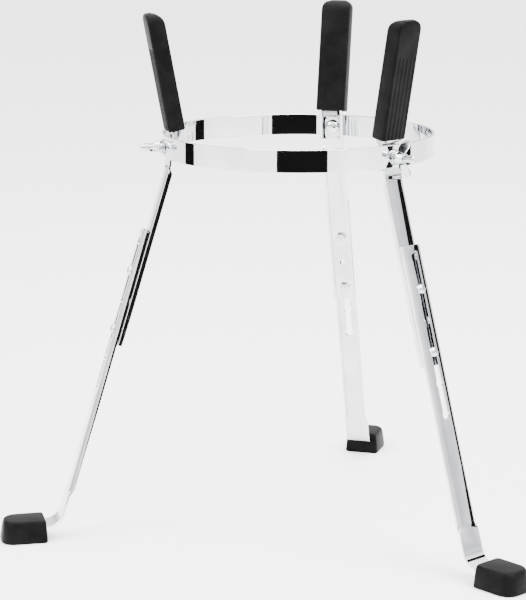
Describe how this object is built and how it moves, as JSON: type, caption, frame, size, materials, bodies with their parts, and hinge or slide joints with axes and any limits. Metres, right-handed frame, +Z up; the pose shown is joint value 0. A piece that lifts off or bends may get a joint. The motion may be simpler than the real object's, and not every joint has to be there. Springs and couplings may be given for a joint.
{
  "type": "drum stand",
  "caption": "Drum stand: flat chrome ring with clamped upright arms in rubber sleeves and slotted two-part legs that slide to set the height, each ending in a rubber foot.",
  "frame": {"origin": "the point on the floor straight under the ring's centre", "axes": "+Z up along the ring's axis; +Y towards the back leg; the left leg is on -X, the right leg on +X"},
  "size_m": [0.596, 0.5199, 0.5797],
  "materials": {
    "chrome_ring": "polished chrome plate",
    "chrome_leg": "polished chrome plate",
    "chrome_hardware": "bright plated hardware",
    "rubber_pad": "matt black rubber",
    "rubber_foot": "matt black rubber"
  },
  "bodies": {
    "stand": {"ring_band": "chrome_ring", "arm_back": "chrome_leg", "arm_left": "chrome_leg", "arm_right": "chrome_leg", "pad_back": "rubber_pad", "pad_left": "rubber_pad", "pad_right": "rubber_pad", "upper_leg_back": "chrome_leg", "upper_leg_left": "chrome_leg", "upper_leg_right": "chrome_leg", "clamp_bolt_back": "chrome_hardware", "clamp_bolt_left": "chrome_hardware", "clamp_bolt_right": "chrome_hardware", "clamp_washer_back": "chrome_hardware", "clamp_washer_left": "chrome_hardware", "clamp_washer_right": "chrome_hardware", "height_screw1_back": "chrome_hardware", "height_screw1_left": "chrome_hardware", "height_screw1_right": "chrome_hardware", "height_screw2_back": "chrome_hardware", "height_screw2_left": "chrome_hardware", "height_screw2_right": "chrome_hardware", "height_nut1_back": "chrome_hardware", "height_nut1_left": "chrome_hardware", "height_nut1_right": "chrome_hardware", "height_nut2_back": "chrome_hardware", "height_nut2_left": "chrome_hardware", "height_nut2_right": "chrome_hardware"},
    "leg_back": {"lower_leg_back": "chrome_leg", "foot_back": "rubber_foot"},
    "leg_left": {"lower_leg_left": "chrome_leg", "foot_left": "rubber_foot"},
    "leg_right": {"lower_leg_right": "chrome_leg", "foot_right": "rubber_foot"},
    "wing_back": {"wing_nut_back": "chrome_hardware"},
    "wing_left": {"wing_nut_left": "chrome_hardware"},
    "wing_right": {"wing_nut_right": "chrome_hardware"}
  },
  "joints": [
    {"name": "height_back", "type": "slide", "parent": "stand", "child": "leg_back", "axis": [0, 0.2907, -0.9568], "range_m": [-0.0674, 0.0337]},
    {"name": "height_left", "type": "slide", "parent": "stand", "child": "leg_left", "axis": [-0.2518, -0.1454, -0.9568], "range_m": [-0.0674, 0.0337]},
    {"name": "height_right", "type": "slide", "parent": "stand", "child": "leg_right", "axis": [0.2518, -0.1454, -0.9568], "range_m": [-0.0674, 0.0337]},
    {"name": "wing_turn_back", "type": "hinge", "parent": "stand", "child": "wing_back", "pos_m": [0, 0.1522, 0.435], "axis": [0, 1, 0], "continuous": true},
    {"name": "wing_turn_left", "type": "hinge", "parent": "stand", "child": "wing_left", "pos_m": [-0.13181, -0.0761, 0.435], "axis": [-0.866, -0.5, 0], "continuous": true},
    {"name": "wing_turn_right", "type": "hinge", "parent": "stand", "child": "wing_right", "pos_m": [0.13181, -0.0761, 0.435], "axis": [0.866, -0.5, 0], "continuous": true}
  ]
}
